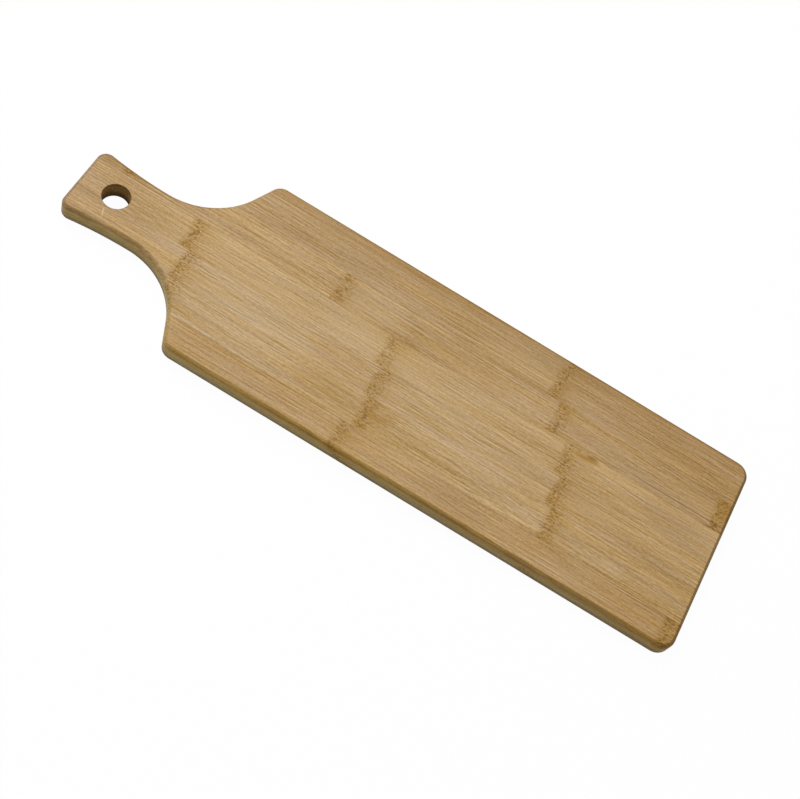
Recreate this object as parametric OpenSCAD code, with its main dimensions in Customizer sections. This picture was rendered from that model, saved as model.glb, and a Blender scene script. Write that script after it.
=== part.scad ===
// Paddle board for charcuterie: flat bamboo strips glued edge to edge into three plies.
// The glued panel is cut to a paddle outline, drilled for hanging and rounded along its edges.
// X runs from the handle to the blade's end, Z is up and the board lies on Z = 0.

/* [Board] */
// Length from the handle's end to the blade's end
board_length = 480; // [420:1:560]
// Width of the blade
board_width = 150; // [130:1:180]

/* [Lamination] */
// Thickness of one ply of strips
ply_thickness = 4.7; // [3.5:0.1:6]
// Width of a whole strip
strip_width = 24; // [20:0.5:28]
// Width of the trimmed strip at the edge where a ply starts
first_strip_width = 9; // [6:0.5:18]

/* [Handle] */
// Width of the handle at its neck
neck_width = 46.5; // [40:0.5:56]
// Distance of the neck from the handle's end
neck_from_end = 52; // [46:0.5:60]
// Radius of the grip's long hollow curve
grip_radius = 300; // [200:5:500]
// Radius of the flare from the neck to the shoulder
flare_radius = 52.5; // [40:0.5:60]
// Slope of the shoulder above the flare, in degrees
shoulder_slope = 66; // [58:0.5:75]

/* [Corners and edges] */
// Corner radius of the handle's end
handle_corner_radius = 7; // [4:0.5:12]
// Corner radius of the shoulders
shoulder_radius = 9; // [4:0.5:14]
// Corner radius of the blade's end
blade_corner_radius = 10; // [4:0.5:20]
// Radius of the roundover along the top and bottom edges
edge_radius = 3; // [1:0.1:3.5]

/* [Hanging hole] */
// Diameter of the hole
hole_diameter = 19; // [12:0.5:24]
// Distance of the hole's centre from the handle's end
hole_from_end = 27; // [22:0.5:34]

/* [Hidden] */
$fn = 180;
// The plies, from the bottom up
PLIES = ["bottom", "core", "top"];
ply_count = len(PLIES);
// How far blanks and cuts run past the finished board
overrun = 3;
// Part of its radius by which a rounding runs past the face that it meets, so that the two cross
crossing_share = 0.004;
inset_share = 1 - crossing_share;
// The same for the roundovers: cuts that meet take one each, so that their edges don't meet in a point
roundover_shares = [0.003, 0.006];

board_thickness = ply_count * ply_thickness;
half_length = board_length / 2;
half_width = board_width / 2;
strip_count = 1 + round((board_width - first_strip_width) / strip_width);

// The neck, and the centres of the two hollow curves that meet there
neck_x = neck_from_end - half_length;
neck_y = neck_width / 2;
flare_y = neck_y + flare_radius;
grip_y = neck_y + grip_radius + flare_radius * crossing_share;

// The straight slope of the shoulder: where it starts on the flare, and how long it runs
slope_x = neck_x + flare_radius * inset_share * sin(shoulder_slope);
slope_y = flare_y - flare_radius * inset_share * cos(shoulder_slope);
slope_length = (half_width + overrun - slope_y) / sin(shoulder_slope);

// Centres of the three corner arcs on one side
shoulder_inset = shoulder_radius * inset_share;
shoulder_y = half_width - shoulder_inset;
shoulder_lean = (shoulder_y - slope_y) * cos(shoulder_slope);
shoulder_x = slope_x + (shoulder_inset + shoulder_lean) / sin(shoulder_slope);
blade_corner_x = half_length - blade_corner_radius * inset_share;
blade_corner_y = half_width - blade_corner_radius * inset_share;
handle_inset = handle_corner_radius * inset_share;
handle_corner_x = handle_inset - half_length;
handle_corner_y = grip_y - sqrt((grip_radius + handle_inset) ^ 2 - (neck_x - handle_corner_x) ^ 2);
handle_corner_start = atan2(grip_y - handle_corner_y, neck_x - handle_corner_x);

hole_x = hole_from_end - half_length;

// Strip tones, from pale straw to warm tan
strip_tones = ["#ab8a5c", "#b19166", "#b39468", "#bb9d70", "#b89a6e", "#b59669", "#b29264"];
core_tone = "#a58a58";

function strip_name(ply, number) = str(ply, "_strip_", number);

// Edges of a strip across the board, counted from the +Y side, where the outer ones run over
function seam(number) = half_width - first_strip_width - number * strip_width;
function strip_far(number) = number == 1 ? half_width + overrun : seam(number - 2);
function strip_near(number) = number == strip_count ? -half_width - overrun : seam(number - 1);

// Section of the air at the board's edge: x runs out from the wall, y runs up
module edge_air(reach, kind) {
    translate([0, -overrun]) square([reach, board_thickness + 2 * overrun]);
    rounded_off(kind);
    translate([0, board_thickness]) mirror([0, 1]) rounded_off(kind);
}

// What the roundover takes off the lower corner of that section
module rounded_off(kind) {
    inset = edge_radius * (1 - roundover_shares[kind]);
    difference() {
        translate([-inset, -overrun]) square([2 * inset, inset + overrun]);
        translate([-inset, inset]) circle(edge_radius);
    }
}

// Air along a straight edge on the Y axis, with the board on its -X side
module straight_cut(length, reach) {
    rotate([90, 0, 0]) linear_extrude(length, center = true) edge_air(reach, 0);
}

// Air outside a round corner of the board
module corner_cut(radius, start, angle) {
    rotate([0, 0, start])
        rotate_extrude(angle = angle) translate([radius, 0]) edge_air(radius, 1);
}

// Air inside a hollow curve of the board, no further in than the curve's axis
module hollow_cut(radius, reach, start, angle, kind) {
    rotate([0, 0, start]) rotate_extrude(angle = angle) intersection() {
        translate([radius, 0]) mirror([1, 0]) edge_air(reach, kind);
        translate([0, -2 * overrun]) square([2 * radius, board_thickness + 4 * overrun]);
    }
}

module end_cut() {
    translate([half_length, 0, 0]) straight_cut(board_width + 2 * overrun, 2 * overrun);
}

module long_edge_cut() {
    translate([0, half_width, 0]) rotate([0, 0, 90])
        straight_cut(board_length + 2 * overrun, 2 * overrun);
}

module grip_cut() {
    translate([neck_x, grip_y, 0]) hollow_cut(grip_radius, half_width, 180, 90, 0);
}

module flare_cut() {
    translate([neck_x, flare_y, 0]) hollow_cut(flare_radius, flare_radius + overrun, 0, 360, 1);
}

module slope_cut() {
    translate([slope_x, slope_y, 0]) rotate([0, 0, 90 + shoulder_slope])
        translate([0, -slope_length / 2, 0]) straight_cut(slope_length, flare_radius);
}

module shoulder_cut() {
    translate([shoulder_x, shoulder_y, 0]) corner_cut(shoulder_radius, 90, shoulder_slope);
}

module blade_corner_cut() {
    translate([blade_corner_x, blade_corner_y, 0]) corner_cut(blade_corner_radius, 0, 90);
}

module handle_corner_cut() {
    translate([handle_corner_x, handle_corner_y, 0])
        corner_cut(handle_corner_radius, handle_corner_start, 180 - handle_corner_start);
}

module hang_hole() {
    translate([hole_x, 0, -overrun]) cylinder(h = board_thickness + 2 * overrun, d = hole_diameter);
}

// Cuts the hollow curves of the handle into one long side: side is 0 for +Y and 1 for -Y
module hollowed(side) {
    difference() {
        difference() {
            children();
            mirror([0, side, 0]) grip_cut();
        }
        mirror([0, side, 0]) flare_cut();
    }
}

// Cuts the straight edges of one long side
module trimmed(side) {
    difference() {
        children();
        mirror([0, side, 0]) slope_cut();
        mirror([0, side, 0]) long_edge_cut();
    }
}

// Rounds the corners of one long side
module cornered(side) {
    difference() {
        children();
        mirror([0, side, 0]) shoulder_cut();
        mirror([0, side, 0]) blade_corner_cut();
        mirror([0, side, 0]) handle_corner_cut();
    }
}

// Cuts both ends square and drills the hanging hole
module ends_cut() {
    difference() {
        children();
        end_cut();
        mirror([1, 0, 0]) end_cut();
        hang_hole();
    }
}

// Shapes a strip as the cuts through the glued panel leave it
module shaped() {
    cornered(0) cornered(1) ends_cut() trimmed(0) trimmed(1) hollowed(0) hollowed(1) children();
}

// A strip before shaping, on its place in its ply
module strip_blank(level, number) {
    translate([-half_length - overrun, strip_near(number), level * ply_thickness])
        cube([board_length + 2 * overrun, strip_far(number) - strip_near(number), ply_thickness]);
}

// One strip of the top or bottom ply
module face_strip(level, number) {
    color(strip_tones[(number - 1) % len(strip_tones)]) shaped() strip_blank(level, number);
}

// One strip of the core, which counts from the -Y side, so that its seams miss those of the faces
module core_strip(level, number) {
    color(core_tone) shaped() mirror([0, 1, 0]) strip_blank(level, number);
}

for (level = [0 : ply_count - 1]) for (number = [1 : strip_count]) {
    union() {
        if (PLIES[level] == "core") core_strip(level, number);
        else face_strip(level, number);
    }
}
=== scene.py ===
# %% [markdown]
# A paddle board for charcuterie, made of flat bamboo strips.
#
# The real board starts as a panel: strips are glued edge to edge into plies, and three plies are glued
# face to face. The panel is then sawn to the paddle outline, drilled for hanging and rounded over along
# its edges. This lesson goes the same way. It makes one solid board with rounded edges, saws it into
# the strips that the CAD model has, and gives every strip a bamboo finish of its own.

# %% Load the CAD model as the fixed frame
import math
from collections import namedtuple

import bmesh
import bpy
from mathutils import Matrix, Vector


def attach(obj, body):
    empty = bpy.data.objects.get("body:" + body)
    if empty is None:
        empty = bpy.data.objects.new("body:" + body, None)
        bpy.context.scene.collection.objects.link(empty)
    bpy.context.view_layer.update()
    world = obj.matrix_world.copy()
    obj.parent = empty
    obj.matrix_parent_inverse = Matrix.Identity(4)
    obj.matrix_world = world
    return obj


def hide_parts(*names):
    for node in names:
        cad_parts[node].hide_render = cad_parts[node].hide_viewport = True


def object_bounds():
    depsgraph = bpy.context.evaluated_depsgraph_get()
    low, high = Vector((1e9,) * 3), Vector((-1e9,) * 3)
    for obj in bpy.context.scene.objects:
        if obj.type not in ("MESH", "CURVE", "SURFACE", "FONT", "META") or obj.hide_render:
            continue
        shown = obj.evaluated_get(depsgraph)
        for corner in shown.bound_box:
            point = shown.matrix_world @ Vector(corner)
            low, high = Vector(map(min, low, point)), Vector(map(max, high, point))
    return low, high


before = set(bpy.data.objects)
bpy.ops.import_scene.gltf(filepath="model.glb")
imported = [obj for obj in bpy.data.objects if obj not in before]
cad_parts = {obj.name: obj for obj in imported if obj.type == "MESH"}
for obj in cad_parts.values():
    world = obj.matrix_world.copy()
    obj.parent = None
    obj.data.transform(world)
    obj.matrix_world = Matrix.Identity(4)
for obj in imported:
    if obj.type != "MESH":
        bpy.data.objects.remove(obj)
cad_low, cad_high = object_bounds()
MM = 0.001
CM3 = 1e-6


def in_mm(lengths):
    """Lengths in metres as millimetres, for printing."""
    return [round(length / MM, 2) for length in lengths]


print("CAD nodes:", len(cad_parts), "box in mm:", in_mm(cad_high - cad_low))

# %% [markdown]
# The camera comes from the photograph's perspective: the two long edges, the ends and the hole fix
# where it stood. It looks down on the board from above the near long edge, and it is rolled, so that
# the handle points to the upper left. A matrix built from the viewing direction sets all of that in one
# go, with no constraint to undo.

# %% Camera
CAMERA_PLACE = Vector((25.29, -488.91, 837.41)) * MM
CAMERA_AZIMUTH = math.radians(1.4287)
CAMERA_ELEVATION = math.radians(60.327)
CAMERA_ROLL = math.radians(29.970)
CAMERA_LENS = 66.372
CAMERA_SENSOR = 36

ahead = Vector((
    -math.sin(CAMERA_AZIMUTH) * math.cos(CAMERA_ELEVATION),
    math.cos(CAMERA_AZIMUTH) * math.cos(CAMERA_ELEVATION),
    -math.sin(CAMERA_ELEVATION),
))
level = Vector((math.cos(CAMERA_AZIMUTH), math.sin(CAMERA_AZIMUTH), 0))
upright = level.cross(ahead)
picture_x = level * math.cos(CAMERA_ROLL) + upright * math.sin(CAMERA_ROLL)
picture_y = upright * math.cos(CAMERA_ROLL) - level * math.sin(CAMERA_ROLL)
camera_data = bpy.data.cameras.new("photo_camera")
camera_data.lens = CAMERA_LENS
camera_data.sensor_width = CAMERA_SENSOR
camera = bpy.data.objects.new("photo_camera", camera_data)
bpy.context.scene.collection.objects.link(camera)
turn = Matrix((picture_x, picture_y, -ahead)).transposed()
camera.matrix_world = Matrix.Translation(CAMERA_PLACE) @ turn.to_4x4()
bpy.context.scene.camera = camera
print("camera height in mm:", round(CAMERA_PLACE.z / MM), "lens:", camera_data.lens)

# %% [markdown]
# Shader maths reads best as plain sums, so one small class wraps a socket. Adding or multiplying such a
# field puts the matching Math node into the material, and one method makes every other node from its
# type, its settings and its sockets. Placing each node by hand would give the same material in many
# more lines.

# %% A field: one socket of a material
# A Mix node has sockets for every type of value, so the ones for colours go by their numbers
MIX_SHARE, MIX_BELOW, MIX_ABOVE, MIX_RESULT = 0, 6, 7, 2


class Field:
    """One socket of a material. Sums on it add Math nodes, and node() adds any other node."""

    def __init__(self, tree, socket=None):
        self.tree = tree
        self.socket = socket

    def node(self, kind, settings, sockets, output=0):
        made = self.tree.nodes.new(kind)
        for key, value in settings.items():
            if key == "stops":
                put_stops(made.color_ramp, value)
            else:
                setattr(made, key, value)
        for key, value in sockets.items():
            if isinstance(value, Field):
                self.tree.links.new(value.socket, made.inputs[key])
            else:
                made.inputs[key].default_value = value
        return Field(self.tree, made.outputs[output] if made.outputs else None)

    def math(self, operation, *terms):
        return self.node("ShaderNodeMath", {"operation": operation}, dict(enumerate(terms)))

    def __add__(self, other):
        return self.math("ADD", self, other)

    def __radd__(self, other):
        return self.math("ADD", other, self)

    def __sub__(self, other):
        return self.math("SUBTRACT", self, other)

    def __rsub__(self, other):
        return self.math("SUBTRACT", other, self)

    def __mul__(self, other):
        return self.math("MULTIPLY", self, other)

    def __rmul__(self, other):
        return self.math("MULTIPLY", other, self)

    def __truediv__(self, other):
        return self.math("DIVIDE", self, other)

    def __abs__(self):
        return self.math("ABSOLUTE", self)

    def root(self):
        return self.math("SQRT", self)

    def least(self, other):
        return self.math("MINIMUM", self, other)

    def rise(self, low, high):
        """0 up to low, 1 from high on, and a smooth step between them."""
        sockets = {"Value": self, "From Min": low, "From Max": high}
        return self.node("ShaderNodeMapRange", {"interpolation_type": "SMOOTHSTEP"}, sockets)

    def mix(self, below, above):
        """The colour below where this field is 0, and the colour above where it is 1."""
        settings = {"data_type": "RGBA", "clamp_factor": True}
        sockets = {MIX_SHARE: self, MIX_BELOW: below, MIX_ABOVE: above}
        return self.node("ShaderNodeMix", settings, sockets, MIX_RESULT)


def put_stops(ramp, stops):
    """Sets a ramp's grey stops, given as pairs of place and value."""
    ramp.interpolation = "EASE"
    while len(ramp.elements) < len(stops):
        # A new stop lands in the middle, and the next lines move it
        ramp.elements.new(0.5)
    for element, (place, value) in zip(ramp.elements, stops):
        element.position = place
        element.color = (value, value, value, 1)


def srgb(red, green, blue):
    """A colour as a screen shows it, turned into the linear colour that a shader takes."""
    return (*[((c / 255 + 0.055) / 1.055) ** 2.4 for c in (red, green, blue)], 1)


def new_finish(name):
    """An empty material, and the field that all its nodes start from."""
    material = bpy.data.materials.new(name)
    material.use_nodes = True
    material.node_tree.nodes.clear()
    return material, Field(material.node_tree)


print("field maths ready")

# %% [markdown]
# The board lies on plain white paper. A white background must not mean more light on the board, so
# floor and world look white to the camera, while what they send to the board stays at a plain level. A
# part of the floor's own shade is left in the white, and with it the board's soft shadow.

# %% Floor
FLOOR_SIZE = 6.0
FLOOR_DROP = 0.1 * MM
FLOOR_GREY = (0.5, 0.5, 0.5, 1)
FLOOR_WHITE_SHARE = 0.97
WHITE = (1, 1, 1, 1)


def seen_directly(field):
    """1 for what the camera sees by itself, in a mirror or through glass, and 0 for light on the board."""
    kinds = ("Is Camera Ray", "Is Glossy Ray", "Is Transmission Ray")
    by_itself, mirrored, through_glass = [field.node("ShaderNodeLightPath", {}, {}, kind) for kind in kinds]
    return (by_itself + mirrored + through_glass).least(1)


floor_bm = bmesh.new()
bmesh.ops.create_grid(floor_bm, x_segments=1, y_segments=1, size=FLOOR_SIZE / 2)
bmesh.ops.translate(floor_bm, verts=floor_bm.verts[:], vec=(0, 0, -FLOOR_DROP))
floor_mesh = bpy.data.meshes.new("floor")
floor_bm.to_mesh(floor_mesh)
floor_bm.free()
floor = bpy.data.objects.new("floor", floor_mesh)
bpy.context.scene.collection.objects.link(floor)
floor_paper, start = new_finish("floor_paper")
shaded = start.node("ShaderNodeBsdfDiffuse", {}, {"Color": FLOOR_GREY})
shadowed = start.node("ShaderNodeBsdfDiffuse", {}, {"Color": WHITE})
glowing = start.node("ShaderNodeEmission", {}, {"Color": WHITE, "Strength": 1.0})
white = start.node("ShaderNodeMixShader", {}, {0: FLOOR_WHITE_SHARE, 1: shadowed, 2: glowing})
surface = start.node("ShaderNodeMixShader", {}, {0: seen_directly(start), 1: shaded, 2: white})
start.node("ShaderNodeOutputMaterial", {}, {"Surface": surface})
floor_mesh.materials.append(floor_paper)
print("floor of", FLOOR_SIZE, "m, white share", FLOOR_WHITE_SHARE)

# %% [markdown]
# In the photograph the handle's end is bright and the near edge and the blade's end are dark, so a
# large soft light hangs beyond the far left of the board. The world fills in the rest from all sides.
# Together they give the top face about the light at which a colour renders as it is written.

# %% Soft light and world
KEY_FROM = Vector((-0.6, 0.35, 0.75)).normalized()
KEY_DISTANCE = 2.8
KEY_SIZE = 1.8
KEY_LEVEL = 0.58
SKY_LEVEL = 0.40

bpy.context.scene.view_settings.view_transform = "Standard"
key_data = bpy.data.lights.new("soft_light", "AREA")
key_data.size = KEY_SIZE
key_data.energy = KEY_LEVEL * math.pi ** 2 * KEY_DISTANCE ** 2 / KEY_FROM.z
key_light = bpy.data.objects.new("soft_light", key_data)
bpy.context.scene.collection.objects.link(key_light)
key_light.location = KEY_FROM * KEY_DISTANCE
key_light.rotation_euler = KEY_FROM.to_track_quat("Z", "Y").to_euler()
world = bpy.data.worlds.new("studio")
world.use_nodes = True
world.node_tree.nodes.clear()
bpy.context.scene.world = world
start = Field(world.node_tree)
level_seen = SKY_LEVEL + (1 - SKY_LEVEL) * seen_directly(start)
sky = start.node("ShaderNodeBackground", {}, {"Color": WHITE, "Strength": level_seen})
start.node("ShaderNodeOutputWorld", {}, {"Surface": sky})
print("soft light of", round(key_data.energy), "W at", KEY_DISTANCE, "m, sky level", SKY_LEVEL)

# %% [markdown]
# The paddle outline is a run of arcs that flow into each other: a small corner at the handle's end, the
# long hollow of the grip, the tighter hollow of the flare, a straight slope, the shoulder and the
# corner of the blade. Each arc is set by its radius and by what it touches, so its centre is worked out
# here.

# %% Sizes of the outline
BOARD_LENGTH, BOARD_WIDTH, BOARD_THICKNESS = cad_high - cad_low
END_X, EDGE_Y = BOARD_LENGTH / 2, BOARD_WIDTH / 2
NECK_FROM_END = 52 * MM
NECK_WIDTH = 46.5 * MM
GRIP_RADIUS = 300 * MM
FLARE_RADIUS = 52.5 * MM
SHOULDER_SLOPE = math.radians(66)
HANDLE_CORNER = 7 * MM
SHOULDER_CORNER = 9 * MM
BLADE_CORNER = 10 * MM
HOLE_RADIUS = 19 * MM / 2
HOLE_FROM_END = 27 * MM

neck = Vector((NECK_FROM_END - END_X, NECK_WIDTH / 2))
grip_centre = neck + Vector((0, GRIP_RADIUS))
flare_centre = neck + Vector((0, FLARE_RADIUS))
handle_x = HANDLE_CORNER - END_X
handle_rise = math.sqrt((GRIP_RADIUS + HANDLE_CORNER) ** 2 - (neck.x - handle_x) ** 2)
handle_centre = Vector((handle_x, grip_centre.y - handle_rise))
handle_turn = math.atan2(handle_rise, neck.x - handle_x)
slope_side = Vector((math.sin(SHOULDER_SLOPE), -math.cos(SHOULDER_SLOPE)))
slope_start = flare_centre + FLARE_RADIUS * slope_side
shoulder_y = EDGE_Y - SHOULDER_CORNER
shoulder_run = (shoulder_y - slope_start.y) * math.cos(SHOULDER_SLOPE) + SHOULDER_CORNER
shoulder_centre = Vector((slope_start.x + shoulder_run / math.sin(SHOULDER_SLOPE), shoulder_y))
blade_centre = Vector((END_X - BLADE_CORNER, EDGE_Y - BLADE_CORNER))
hole_centre = Vector((HOLE_FROM_END - END_X, 0))
print("handle corner in mm:", in_mm(handle_centre), "shoulder:", in_mm(shoulder_centre))

# %% [markdown]
# Only one half of the outline is drawn, with half of the hanging hole in it, because a face can't have
# a hole: the mirrored half closes it. Each arc is one vertex, spun round its centre, and straight edges
# join the arcs.

# %% Half of the outline, and its mirror image
QUARTER, HALF = math.pi / 2, math.pi
ARCS = [
    # centre, radius, start, sweep, steps
    (handle_centre, HANDLE_CORNER, HALF, handle_turn - HALF, 16),
    (grip_centre, GRIP_RADIUS, HALF + handle_turn, QUARTER - handle_turn, 12),
    (flare_centre, FLARE_RADIUS, -QUARTER, SHOULDER_SLOPE, 28),
    (shoulder_centre, SHOULDER_CORNER, QUARTER + SHOULDER_SLOPE, -SHOULDER_SLOPE, 14),
    (blade_centre, BLADE_CORNER, QUARTER, -QUARTER, 16),
    (hole_centre, HOLE_RADIUS, 0, HALF, 32),
]
WELD = 0.001 * MM

board = bmesh.new()
ends = [board.verts.new((-END_X, 0, 0))]
for centre, radius, begin, sweep, steps in ARCS:
    first_x = centre.x + radius * math.cos(begin)
    first_y = centre.y + radius * math.sin(begin)
    first = board.verts.new((first_x, first_y, 0))
    if radius == HOLE_RADIUS:
        # From the middle of the blade's end, the half outline runs back along the middle line
        ends.append(board.verts.new((END_X, 0, 0)))
        ends.append(ends[-1])
    spun = bmesh.ops.spin(
        board, geom=[first], cent=(*centre, 0), axis=(0, 0, 1), angle=sweep, steps=steps,
    )
    last = [item for item in spun["geom_last"] if isinstance(item, bmesh.types.BMVert)]
    ends += [first, last[0]]
ends.append(ends[0])
for near, far in zip(ends[0::2], ends[1::2]):
    if (near.co - far.co).length > WELD:
        board.edges.new((near, far))
bmesh.ops.remove_doubles(board, verts=board.verts[:], dist=WELD)
bmesh.ops.edgeloop_fill(board, edges=board.edges[:])
half_faces = len(board.faces)
half = board.verts[:] + board.edges[:] + board.faces[:]
bmesh.ops.mirror(board, geom=half, axis="Y", merge_dist=WELD)
bmesh.ops.recalc_face_normals(board, faces=board.faces[:])
print("outline:", len(board.verts), "points,", half_faces, "+", len(board.faces) - half_faces, "faces")

# %% [markdown]
# The saw gives the outline its thickness, and a router with a quarter-round bit runs along both rims.
# The hole only has its sharp rim broken with sandpaper. Extruding and bevelling do just that, and the
# bevel's radius is the bit's.

# %% Thickness, rounded rims and the eased hole
RIM_RADIUS = 3 * MM
RIM_STEPS = 10
EASED_RADIUS = 0.35 * MM
EASED_STEPS = 3

raised = bmesh.ops.extrude_face_region(board, geom=board.faces[:])
lifted = [item for item in raised["geom"] if isinstance(item, bmesh.types.BMVert)]
bmesh.ops.translate(board, verts=lifted, vec=(0, 0, BOARD_THICKNESS))
bmesh.ops.holes_fill(board, edges=[edge for edge in board.edges if edge.is_boundary], sides=0)
bmesh.ops.recalc_face_normals(board, faces=board.faces[:])


def rim_edges(around_hole):
    """The sharp edges of the top and the underside, either round the hole or round the board."""
    rims = []
    for edge in board.edges:
        first, second = (vert.co for vert in edge.verts)
        sharp = edge.calc_face_angle(0) > QUARTER / 2
        level = abs(first.z - second.z) < WELD
        at_hole = (first.xy - hole_centre).length < HOLE_RADIUS + WELD
        if sharp and level and at_hole == around_hole:
            rims.append(edge)
    return rims


for around_hole, size, steps in ((False, RIM_RADIUS, RIM_STEPS), (True, EASED_RADIUS, EASED_STEPS)):
    rims = rim_edges(around_hole)
    bmesh.ops.bevel(
        board, geom=rims, offset=size, offset_type="OFFSET", affect="EDGES",
        segments=steps, profile=0.5, material=-1, clamp_overlap=False,
    )
    print("rims rounded:", len(rims), "edges, radius in mm:", round(size / MM, 2))
bmesh.ops.recalc_face_normals(board, faces=board.faces[:])
open_edges = sum(not edge.is_manifold for edge in board.edges)
print("board:", len(board.faces), "faces, open edges:", open_edges)
print("volume in cm3:", round(board.calc_volume() / CM3, 1))

# %% [markdown]
# Now the board is sawn into its strips. Each strip is a copy of the whole board, cut along the planes
# of its seams and closed again where the saw went through. So the strips fit together with no gap, and
# each one carries its own part of the rounded edge, the handle and the hole, as the glued strips of the
# real board do.

# %% The saw, and where the strips lie
PLIES = ("bottom", "core", "top")
PLY_THICKNESS = BOARD_THICKNESS / len(PLIES)
STRIP_WIDTH = 24 * MM
FIRST_STRIP = 9 * MM
STRIP_COUNT = 7


def saw(blank, place, direction):
    """Cuts away what lies beyond the plane and closes the cut."""
    everything = blank.verts[:] + blank.edges[:] + blank.faces[:]
    cut = bmesh.ops.bisect_plane(
        blank, geom=everything, dist=WELD, plane_co=place, plane_no=direction, clear_outer=True,
    )
    rim = [item for item in cut["geom_cut"] if isinstance(item, bmesh.types.BMEdge)]
    if rim:
        bmesh.ops.edgeloop_fill(blank, edges=rim)


def strip_sides(ply, number):
    """The far and the near side of a strip across the board. The core counts from the other side."""
    seams = [EDGE_Y - FIRST_STRIP - index * STRIP_WIDTH for index in range(STRIP_COUNT - 1)]
    lines = [EDGE_Y, *seams, -EDGE_Y]
    far, near = lines[number - 1], lines[number]
    return (-near, -far) if ply == "core" else (far, near)


print("strips:", len(PLIES), "plies of", STRIP_COUNT, "and a ply in mm:", round(PLY_THICKNESS / MM, 2))

# %% Saw the strips
SMOOTH_ANGLE = math.radians(30)
FLAT_ANGLE = math.radians(0.05)


def strip_piece(ply, number):
    """One strip as an object of its own, cut from a copy of the board."""
    far, near = strip_sides(ply, number)
    floor_z = PLIES.index(ply) * PLY_THICKNESS
    blank = board.copy()
    if far < EDGE_Y - WELD:
        saw(blank, (0, far, 0), (0, 1, 0))
    if near > WELD - EDGE_Y:
        saw(blank, (0, near, 0), (0, -1, 0))
    if ply != "top":
        saw(blank, (0, 0, floor_z + PLY_THICKNESS), (0, 0, 1))
    if ply != "bottom":
        saw(blank, (0, 0, floor_z), (0, 0, -1))
    bmesh.ops.dissolve_limit(blank, angle_limit=FLAT_ANGLE, verts=blank.verts[:], edges=blank.edges[:])
    bmesh.ops.recalc_face_normals(blank, faces=blank.faces[:])
    leaks = sum(not edge.is_manifold for edge in blank.edges)
    volume = blank.calc_volume()
    name = f"{ply}_strip_{number}"
    mesh = bpy.data.meshes.new(name)
    blank.to_mesh(mesh)
    blank.free()
    mesh.polygons.foreach_set("use_smooth", [True] * len(mesh.polygons))
    mesh.set_sharp_from_angle(angle=SMOOTH_ANGLE)
    piece = bpy.data.objects.new("bamboo_" + name, mesh)
    bpy.context.scene.collection.objects.link(piece)
    flat = piece.modifiers.new("flat_faces_stay_flat", "WEIGHTED_NORMAL")
    flat.keep_sharp = True
    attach(piece, "root")
    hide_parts(name)
    return piece, volume, leaks


strips = {}
for ply in PLIES:
    volumes = []
    open_edges = 0
    for number in range(1, STRIP_COUNT + 1):
        strips[ply, number], volume, leaks = strip_piece(ply, number)
        volumes.append(round(volume / CM3, 1))
        open_edges += leaks
    print(ply, "ply: cm3", volumes, "open edges", open_edges)
board.free()

# %% [markdown]
# A flat strip of bamboo shows long fibres, some paler and some darker than the rest, so its colour
# starts from noise that is drawn out along the strip. The noise is three-dimensional: on the edges of
# the board the same fibres run on as fine lines, and on its ends they show as dots. A layer of noise is
# listed with its rates, in turns per millimetre, and every strip adds its own offset, as no two strips
# match.

# %% Layers of noise
TO_MM = 1 / MM
OFFSET_ACROSS = 3
Layer = namedtuple("Layer", "along across seed strength detail rough", defaults=(1.0, 2.0, 0.5))


def strip_place(start):
    """Where a point lies on the board, in millimetres along, across and up."""
    metres = start.node("ShaderNodeTexCoord", {}, {}, "Object")
    scaling = {"Vector": metres, "Scale": TO_MM}
    scaled = start.node("ShaderNodeVectorMath", {"operation": "SCALE"}, scaling)
    return [start.node("ShaderNodeSeparateXYZ", {}, {"Vector": scaled}, axis) for axis in ("X", "Y", "Z")]


def noise(place, layer, offset):
    """A layer of noise between 0 and 1, drawn out along the strip."""
    x, y, z = place
    shift = offset + layer.seed
    stretched = {
        "X": x * layer.along + shift,
        "Y": y * layer.across + OFFSET_ACROSS * shift,
        "Z": z * layer.across - shift,
    }
    vector = x.node("ShaderNodeCombineXYZ", {}, stretched)
    sockets = {"Vector": vector, "Scale": 1.0, "Detail": layer.detail, "Roughness": layer.rough}
    return x.node("ShaderNodeTexNoise", {"noise_dimensions": "3D"}, sockets)


def swing(place, layer, offset):
    """A layer of noise that swings round 0, as strongly as the layer says."""
    return layer.strength * (noise(place, layer, offset) - 0.5)


print("noise from object coordinates times", TO_MM)

# %% [markdown]
# The fibres of one strip are all about as wide. Plain noise has wide bands as well as fine lines, and
# would look like cloudy stone. So the fibres are noise less its own copy, half a fibre aside: broad
# bands cancel, and lines of one width stay. Long lines and short flecks share the strip, fine hairs and
# pores lie over them, and one soft layer puts back a little of the broad light and dark.

# %% Fibres
HALF_FIBRE = 1.1
LINES = Layer(along=0.018, across=0.9, seed=0, detail=1.0)
FLECKS = Layer(along=0.075, across=0.9, seed=19, detail=1.0)
FLECK_SHARES = Layer(along=0.009, across=0.03, seed=3, strength=1.2, detail=1.0)
HAIRS = Layer(along=0.02, across=2.4, seed=29, detail=1.0)
PORES = Layer(along=0.5, across=1.9, seed=41, strength=0.65, detail=0.0)
SOFT_BANDS = Layer(along=0.008, across=0.07, seed=37, strength=0.62)


def fibres(place, layer, offset):
    """Noise less its own copy half a fibre aside: lines of one width round 0."""
    x, y, z = place
    return noise(place, layer, offset) - noise((x, y + HALF_FIBRE, z), layer, offset)


def streaks(place, offset, flecked):
    """The light and dark of the fibres round 0.5: lines, flecks, hairs, pores and soft bands."""
    line = fibres(place, LINES, offset)
    fleck = fibres(place, FLECKS, offset)
    share = flecked + swing(place, FLECK_SHARES, offset)
    fine = swing(place, HAIRS, offset) + swing(place, PORES, offset)
    return 0.5 + line + share * (fleck - line) + fine + swing(place, SOFT_BANDS, offset)


print("fibres in mm:", 2 * HALF_FIBRE, "wide, lines about", round(1 / LINES.along), "long")

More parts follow.
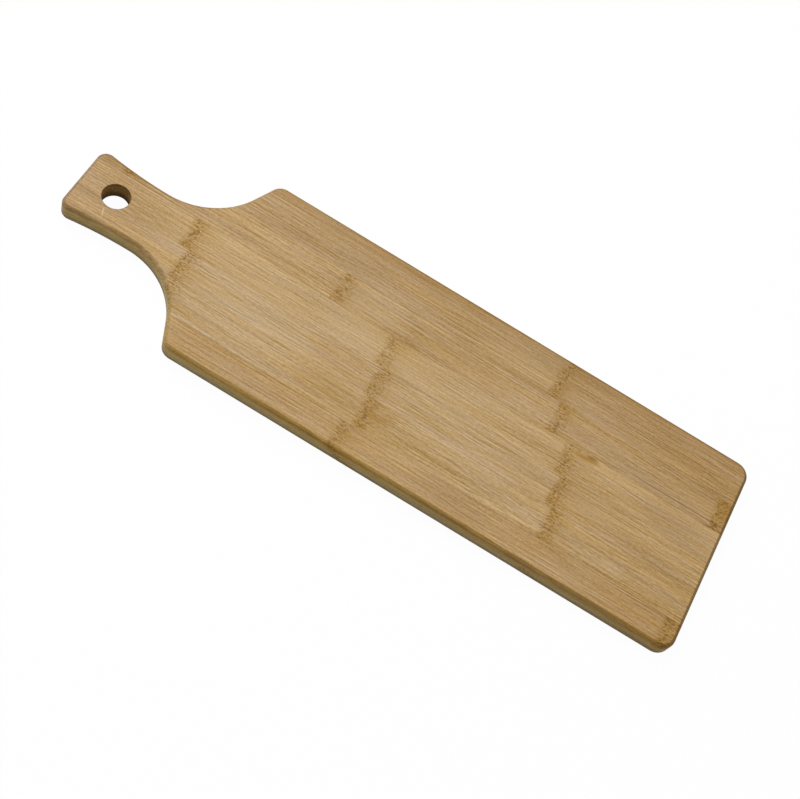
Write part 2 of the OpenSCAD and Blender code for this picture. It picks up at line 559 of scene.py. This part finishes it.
# %% [markdown]
# The strip's tone is spread by these streaks: dark fibres are the warmer ones. Slow noise drifts
# between a redder and a paler tint, as it does along a cane, and soft mottling lies over it. The whole
# face has a painted shade that darkens it a little towards the blade's end, where the light falls
# off, and the grip is a little darker and greyer.

# %% The colour of the fibres
STREAK_SPREAD = 34
SPREAD_SHARES = (0.93, 1.0, 1.3)
MOTTLING = Layer(along=0.035, across=0.14, seed=71, strength=0.18, detail=3.0, rough=0.6)
TINT_DRIFT = Layer(along=0.014, across=0.18, seed=47)
REDDER = (1.09, 1.03, 0.74, 1)
PALER = (0.91, 0.97, 1.26, 1)
HALF_LENGTH = END_X / MM
# Painted shade: the face darkens towards the blade's end, as the light falls off there
FALLOFF_FROM = 40
PAINTED_FALLOFF_TINT = (0.96, 0.92, 0.85, 1)
# The grip's face is a little darker and greyer
GRIP_TINT = (0.99, 0.98, 1.07, 1)
GRIP_DARKER = 0.16


def times(colour, tint, share=1.0):
    """A colour, multiplied by a tint where the share is 1."""
    settings = {"data_type": "RGBA", "blend_type": "MULTIPLY", "clamp_factor": True}
    sockets = {MIX_SHARE: share, MIX_BELOW: colour, MIX_ABOVE: tint}
    return colour.node("ShaderNodeMix", settings, sockets, MIX_RESULT)


def lighter(tone, step):
    """A tone as a screen shows it, some steps lighter or darker."""
    return srgb(*[value + share * step for value, share in zip(tone, SPREAD_SHARES)])


def fibre_colour(place, offset, tone, streak, grip_share):
    """The wood of a strip between its nodes."""
    colour = streak.mix(lighter(tone, -STREAK_SPREAD), lighter(tone, STREAK_SPREAD))
    colour = times(colour, noise(place, TINT_DRIFT, offset).mix(REDDER, PALER))
    # Painted shade towards the blade's end, where the light falls off
    colour = times(colour, PAINTED_FALLOFF_TINT, place[0].rise(FALLOFF_FROM, HALF_LENGTH))
    return times(colour, GRIP_TINT, grip_share)


print("streaks spread a tone by", STREAK_SPREAD, "levels each way")

# %% [markdown]
# Every few hand-widths a bamboo cane has a node, where the fibres tangle. On the strip that is a band
# of short dark ticks across it, sharp on the side of the root and fading into a golden cloud on the
# other. A ramp along the strip says where the bands are, and short noise breaks them into ticks. A
# strip has marks too, such as a scratch, a hairline crack or a pale patch. Each of them is a soft oval,
# laid under the ticks.

# %% Node bands and marks
BAND = [(-5.8, 0), (-2, 0.95), (1.2, 0.85), (4, 0.52), (8, 0.14), (13, 0)]
CLOUD = [(-7, 0), (0, 0.9), (8, 0.7), (26, 0)]
CLOUD_STRENGTH = 0.3
CLOUD_PATCHES = (0.35, 0.7)
BAND_GOLD = 0.18
BAND_PATCHY_GOLD = 0.2
BAND_PATCHES = (0.25, 0.65)
TICKS = Layer(along=0.5, across=1.2, seed=61, detail=0.0)
TICK_EDGE = (0.51, 0.6)
TICK_STRENGTH = 0.66
MARK_PATCHES = (0.25, 0.55)
NODE_GOLD = srgb(164, 120, 18)
NODE_BROWN = srgb(114, 74, 8)
MARK_COLOURS = {"golden": srgb(164, 120, 38), "dark": srgb(104, 74, 34), "pale": srgb(222, 200, 165)}


def board_share(x):
    """How far along the board a place lies: 0 at the handle's end and 1 at the blade's."""
    return (x + HALF_LENGTH) / (2 * HALF_LENGTH)


def along_ramp(x, nodes, shape):
    """A field along the strip: at each node the shape, in millimetres and levels, times its strength."""
    stops = [(at + step, level * strength) for at, strength in nodes.items() for step, level in shape]
    stops = [(min(max(board_share(at), 0.0), 1.0), level) for at, level in stops]
    return x.node("ShaderNodeValToRGB", {"stops": stops}, {"Fac": board_share(x)})


def spot(place, x, y, half_length, half_width, turn=0):
    """An oval mark on the face, turned by some degrees: 1 in its middle and 0 from its edge on."""
    ahead, aside = math.cos(math.radians(turn)), math.sin(math.radians(turn))
    from_x, from_y = place[0] - x, place[1] - y
    along = (from_x * ahead + from_y * aside) / half_length
    across = (from_y * ahead - from_x * aside) / half_width
    return 1 - (along * along + across * across).rise(0.0, 1.0)


def marked(colour, place, mottled, spots):
    """A colour with the strip's own marks on it. Golden ones are patchy."""
    for kind, strength, *oval in spots:
        share = strength * spot(place, *oval)
        if kind == "golden":
            share = share * mottled.rise(*MARK_PATCHES)
        colour = share.mix(colour, MARK_COLOURS[kind])
    return colour


print("node band", BAND[-1][0] - BAND[0][0], "mm long, cloud", CLOUD[-1][0] - CLOUD[0][0], "mm long")

# %% [markdown]
# The glue shows as a hairline along the seams, both between the strips of a ply and between the plies.
# The outer sides of the board have none, so a strip only counts the sides where it meets another.

# %% Seams
GLUE_WIDTH = 0.3
GLUE_STRENGTH = 0.45
GLUE_BROWN = srgb(120, 88, 48)


def glue(place, ply, number):
    """1 on the glue of a strip's seams, and 0 away from them."""
    _, y, z = place
    far, near = (side / MM for side in strip_sides(ply, number))
    low, high = (step * PLY_THICKNESS / MM for step in (PLIES.index(ply), PLIES.index(ply) + 1))
    to_seams = []
    if far < EDGE_Y / MM - GLUE_WIDTH:
        to_seams.append(far - y)
    if near > GLUE_WIDTH - EDGE_Y / MM:
        to_seams.append(y - near)
    if ply != "top":
        to_seams.append(high - z)
    if ply != "bottom":
        to_seams.append(z - low)
    nearest = to_seams[0]
    for distance in to_seams[1:]:
        nearest = nearest.least(distance)
    return 1 - nearest.rise(0.0, GLUE_WIDTH)


print("glue lines in mm:", GLUE_WIDTH)

# %% [markdown]
# Where the router cut into the strips, on the rounded rims and the edges, the open fibres have drunk
# more oil and are yellower, and greyer where it cut their ends. The edge has painted light at the
# handle and a painted shade towards the blade's end, where the light falls off, and a painted shade
# low down, next to the table. The top of the rounding has a painted shade in patches: pink on the
# grip, lightly on the slope and brown along the blade. The hole's wall has a painted shade.

# %% Cut edges and the drilled hole
CUT_TINT = (1.0, 1.0, 0.70, 1)
END_TINT = (0.92, 0.94, 0.88, 1)
END_GRAIN_DEPTH = 8
# Painted light on the edge at the handle, painted shade towards the blade's end
PAINTED_LIGHT_EDGE = (1.12, 1.12, 1.15, 1)
PAINTED_SHADE_EDGE = (0.92, 0.90, 0.88, 1)
EDGE_FALLOFF_FROM = -130
# Painted shade on the lowest part of the edge, next to the table
PAINTED_LOW_SHADE = (0.50, 0.56, 0.78, 1)
LOW_SHADE_PART = (2.0, 8.0)
# Painted shade on the top of the rounding, where it turns from the light: grip, slope and blade tints, in
# patches
GRIP_RIM_SHADE = (0.61, 0.585, 0.75, 1)
SLOPE_RIM_SHADE = (0.72, 0.75, 1.0, 1)
BLADE_RIM_SHADE = (0.62, 0.58, 0.46, 1)
GRIP_TO_SLOPE = (-160, -148)
SLOPE_TO_BLADE = (-136, -122)
RIM_SHADE_PATCHES = Layer(along=0.03, across=0.03, seed=83, strength=0.9)
RIM_SHADE_LEVEL = 0.97
# Painted shade inside the drilled hole
PAINTED_HOLE_SHADE = (0.74, 0.66, 0.54, 1)
HOLE_SHADE = (0.2, 0.5)


def edge_colour(colour, place, cut, wall):
    """A colour with the tints of the cut edges where cut is 1, painted light and shade along them and low
    down, and a painted shade on the rounding above the wall.
    """
    x, _, z = place
    end_grain = abs(x).rise(HALF_LENGTH - END_GRAIN_DEPTH, HALF_LENGTH)
    colour = times(colour, end_grain.mix(CUT_TINT, END_TINT), cut)
    # Painted light near the handle and painted shade towards the blade's end, as the light falls off
    colour = times(colour, x.rise(EDGE_FALLOFF_FROM, HALF_LENGTH).mix(PAINTED_LIGHT_EDGE, PAINTED_SHADE_EDGE), cut)
    # Painted shade: the edge gets darker and greyer low down, next to the table
    colour = times(colour, PAINTED_LOW_SHADE, cut * (1 - z.rise(*LOW_SHADE_PART)))
    # Painted shade on the rounding above the wall, patchy, its tint going from grip to slope to blade
    rim_shade = x.rise(*GRIP_TO_SLOPE).mix(GRIP_RIM_SHADE, SLOPE_RIM_SHADE)
    rim_shade = x.rise(*SLOPE_TO_BLADE).mix(rim_shade, BLADE_RIM_SHADE)
    rim_shade_share = RIM_SHADE_LEVEL + swing(place, RIM_SHADE_PATCHES, 0)
    return times(colour, rim_shade, rim_shade_share * (cut - wall))


def drilled(place):
    """1 on the wall of the hanging hole, and 0 on the faces round it."""
    x, y, _ = place
    from_hole = x - hole_centre.x / MM
    distance = (from_hole * from_hole + y * y).root()
    return 1 - distance.rise(*[HOLE_RADIUS / MM + step for step in HOLE_SHADE])


print("cut tint", CUT_TINT[:3], "hole tint", PAINTED_HOLE_SHADE[:3])

# %% [markdown]
# The finish of one strip puts these together. Node bands wander a little across the strip, and the
# fibres sway and tangle round them, so these shifts come first and the colours read the shifted place.
# Roughness follows the fibres, the ticks and the hole, and a faint bump the fibres and the ticks.

# %% The bamboo finish
STRIP_OFFSET = 7.31
PLY_OFFSET = 53.7
WANDER = Layer(along=0.0, across=0.06, seed=90, strength=4)
CLOUD_WANDER = 2
SWAY = Layer(along=0.012, across=0.05, seed=5, strength=1.6, detail=1.0)
TANGLE = Layer(along=0.06, across=0.12, seed=11, strength=3.0, detail=1.0)
CUT_DEPTH = (0.0, 0.1)
ROUNDED_DEPTH = (0.5, 4.0)
GRIP_PART = (-225, -140)
ROUGHNESS = 0.52
ROUGHER_TICKS = 0.1
ROUGHER_HOLE = 0.35
ROUGHER_STREAKS = 0.12
TICK_RELIEF = 0.6
BUMP_HEIGHT = 0.06 * MM
BUMP_STRENGTH = 0.5
SHINE = 0.22


def bamboo(name, ply, number, tone, flecked, nodes, spots):
    """The finish of one strip, from its tone, its flecks, the places of its nodes and its marks."""
    material, start = new_finish(name)
    place = strip_place(start)
    x, y, z = place
    offset = STRIP_OFFSET * number + PLY_OFFSET * PLIES.index(ply)
    wander = swing(place, WANDER, offset)
    band = along_ramp(x + wander, nodes, BAND)
    cloud = along_ramp(x + CLOUD_WANDER * wander, nodes, CLOUD)
    tangle = cloud * swing(place, TANGLE, offset)
    swayed = (x, y + swing(place, SWAY, offset) + tangle, z)
    rim_depth = z.least(BOARD_THICKNESS / MM - z)
    cut, wall = rim_depth.rise(*CUT_DEPTH), rim_depth.rise(*ROUNDED_DEPTH)
    grip_share = (1 - x.rise(*GRIP_PART)) * (1 - wall)
    mottled = noise(swayed, MOTTLING, offset)
    streak = streaks(swayed, offset, flecked) + MOTTLING.strength * (mottled - 0.5)
    streak = streak - GRIP_DARKER * grip_share
    colour = fibre_colour(swayed, offset, tone, streak, grip_share)
    colour = (CLOUD_STRENGTH * cloud * mottled.rise(*CLOUD_PATCHES)).mix(colour, NODE_GOLD)
    gold = band * (BAND_GOLD + BAND_PATCHY_GOLD * mottled.rise(*BAND_PATCHES))
    colour = marked(gold.mix(colour, NODE_GOLD), place, mottled, spots)
    ticks = band * noise(swayed, TICKS, offset).rise(*TICK_EDGE)
    colour = (TICK_STRENGTH * ticks).mix(colour, NODE_BROWN)
    colour = (GLUE_STRENGTH * glue(place, ply, number)).mix(colour, GLUE_BROWN)
    colour = edge_colour(colour, place, cut, wall)
    hole = drilled(place)
    # Painted shade on the hole's wall
    colour = times(colour, PAINTED_HOLE_SHADE, hole)
    roughness = ROUGHNESS + ROUGHER_TICKS * ticks + ROUGHER_HOLE * hole + ROUGHER_STREAKS * streak
    relief = {"Strength": BUMP_STRENGTH, "Distance": BUMP_HEIGHT, "Height": streak - TICK_RELIEF * ticks}
    bump = start.node("ShaderNodeBump", {}, relief)
    sockets = {"Base Color": colour, "Roughness": roughness, "Normal": bump, "Specular IOR Level": SHINE}
    wood = start.node("ShaderNodeBsdfPrincipled", {}, sockets)
    start.node("ShaderNodeOutputMaterial", {}, {"Surface": wood})
    return material


print("finish: roughness from", ROUGHNESS, "and bump in mm:", round(BUMP_HEIGHT / MM, 3))

# %% [markdown]
# Now the strips' own looks. The tones, node places and marks of the top ply follow the photograph: a
# scratch by the hole, a crack that ends in a hairline at the blade's end, a golden tail behind a node,
# and soft patches where a strip is paler, darker or more golden than the rest of it.

# %% Tones, nodes and marks of the top strips
# A mark: kind, strength, place along and across, half length and half width, and its turn in degrees
SCRATCH = ("pale", 0.7, -213.5, -15.2, 5.2, 0.5, -68)
HAIRLINE = ("dark", 0.95, 206, 22.5, 62, 0.4, 0.4)
HAIRLINE_SHADE = ("dark", 0.1, 190, 22, 60, 7, 0.4)
CRACK = ("dark", 0.55, 156, 20.2, 14, 0.4, 5)
DASH = ("dark", 0.8, 228, 18.2, 4, 0.7, 0)
END_CLOUD = ("golden", 0.6, 234, 30, 9, 14)
CRACKED_END = [END_CLOUD, HAIRLINE_SHADE, HAIRLINE, CRACK, DASH]
TAIL = ("golden", 0.8, 137, 15.4, 13, 3.8)
TAIL_SPOT = ("dark", 0.5, 141, 16.9, 5, 1.2)
GOLDEN_CLOUD = ("golden", 0.65, 6, -36, 16, 10)
PALE_PATCH = ("pale", 0.14, 184, -46, 12, 5)
TOP_LOOKS = [
    # tone, share of flecks, nodes by their place along the strip with their strength, marks
    ((168, 131, 74), 0.5, {102: 1.0}, []),
    ((175, 141, 88), 0.6, {99.5: 1.05}, []),
    ((181, 147, 94), 0.6, {-216: 1.15, -57: 0.95, 108.7: 1.0, 231.5: 1.2}, CRACKED_END),
    ((190, 157, 104), 0.6, {-157.5: 1.1, -9.2: 0.8, 126.3: 1.0}, [HAIRLINE_SHADE, TAIL, TAIL_SPOT]),
    ((186, 153, 100), 0.7, {-151: 1.1, -4.5: 1.0, 131: 1.0}, [SCRATCH]),
    ((186, 153, 99), 0.7, {-149: 1.0, -1.3: 1.0, 135.8: 0.95}, [GOLDEN_CLOUD, PALE_PATCH]),
    ((181, 145, 89), 0.5, {-7.6: 0.8, 231.5: 1.1}, []),
]
PATCH_HALF_WIDTH = 18
PATCHES = [
    # strip, kind, strength, place along the strip, half length
    (1, "pale", 0.10, 71, 45),
    (2, "pale", 0.08, 71, 40),
    (3, "pale", 0.15, -32, 32),
    (3, "golden", 0.24, 35, 50),
    (3, "pale", 0.08, 185, 60),
    (4, "pale", 0.13, -35, 35),
    (4, "dark", 0.13, 208, 35),
    (5, "pale", 0.13, -98, 60),
    (5, "golden", 0.2, -32, 30),
    (6, "golden", 0.28, -30, 30),
    (7, "dark", 0.15, 72, 38),
    (7, "pale", 0.08, 165, 35),
]


def top_patches(number):
    """The soft patches of a top strip as marks, in the middle of its width."""
    middle = sum(strip_sides("top", number)) / 2 / MM
    return [
        (kind, strength, along, middle, half_length, PATCH_HALF_WIDTH)
        for strip, kind, strength, along, half_length in PATCHES if strip == number
    ]


print("looks of", len(TOP_LOOKS), "top strips, with", len(PATCHES), "soft patches")

# %% [markdown]
# The core and the underside aren't seen in the photograph. They get tones of the same bamboo, and nodes
# at about the distance that the top strips have, each strip starting at a place of its own.

# %% Finish all the strips
CORE_TONE = (176, 150, 103)
BOTTOM_TONES = [(178, 143, 90), (184, 150, 97), (180, 146, 93)]
NODE_SPACING = 137.0
NODE_COUNT = 3
FIRST_NODES = [-139, -178, -137, -104, -118, -190, -133]

for (ply, number), piece in strips.items():
    tone, flecked, nodes, spots = TOP_LOOKS[number - 1]
    if ply == "top":
        spots = spots + top_patches(number)
    else:
        tone = CORE_TONE if ply == "core" else BOTTOM_TONES[number % len(BOTTOM_TONES)]
        nodes = {FIRST_NODES[number - 1] + NODE_SPACING * index: 1.0 for index in range(NODE_COUNT)}
        spots = []
    name = f"bamboo_{ply}_{number}"
    piece.data.materials.append(bamboo(name, ply, number, tone, flecked, nodes, spots))
print("finishes:", len(strips))
